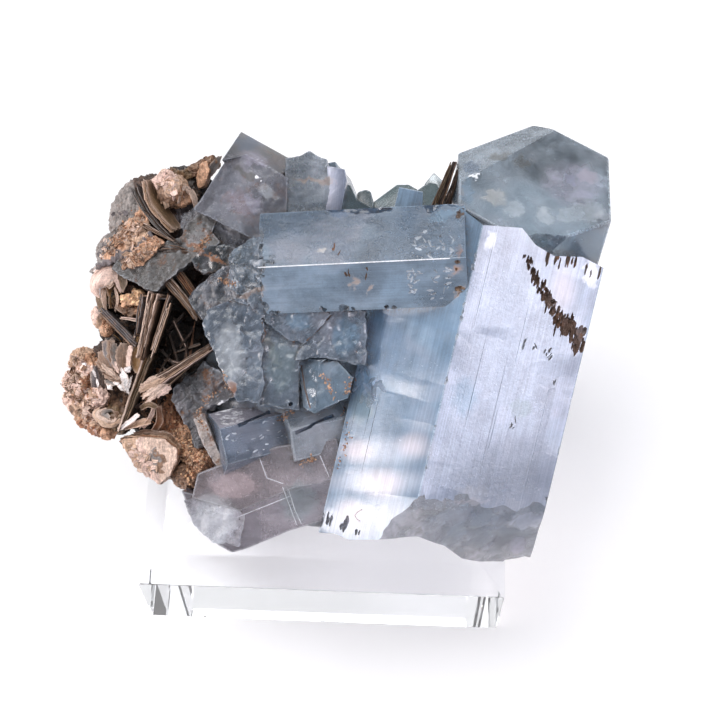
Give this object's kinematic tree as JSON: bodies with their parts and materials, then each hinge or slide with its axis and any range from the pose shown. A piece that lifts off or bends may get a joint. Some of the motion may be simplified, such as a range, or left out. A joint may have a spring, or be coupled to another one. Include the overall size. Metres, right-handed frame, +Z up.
{
  "type": "aquamarine crystal specimen",
  "caption": "Pale blue aquamarine crystal cluster with brown mica books, resting tilted on a square clear acrylic display base with bevelled edges.",
  "frame": {"origin": "centre of the acrylic base's underside, where the whole thing rests", "axes": "+Z up, +X to the right along the display side, +Y to the back"},
  "size_m": [0.0735, 0.0594, 0.0542],
  "materials": {
    "clear_acrylic": "polished clear acrylic",
    "aquamarine": "translucent crystal, striated faces",
    "matrix": "rough granular",
    "mica_brown": "layered, pearly",
    "mica_pale": "layered, satin"
  },
  "bodies": {
    "root": {"acrylic_base": "clear_acrylic", "aquamarine_cluster": "aquamarine", "brown_matrix": "matrix", "mica_upper_books": "mica_brown", "mica_upright_blade": "mica_pale", "mica_long_blade": "mica_pale", "mica_rusty_plates": "mica_brown", "mica_hexagonal_book": "mica_pale", "mica_curved_book": "mica_brown", "mica_lower_books": "mica_brown", "mica_top_book": "mica_brown"}
  },
  "joints": []
}
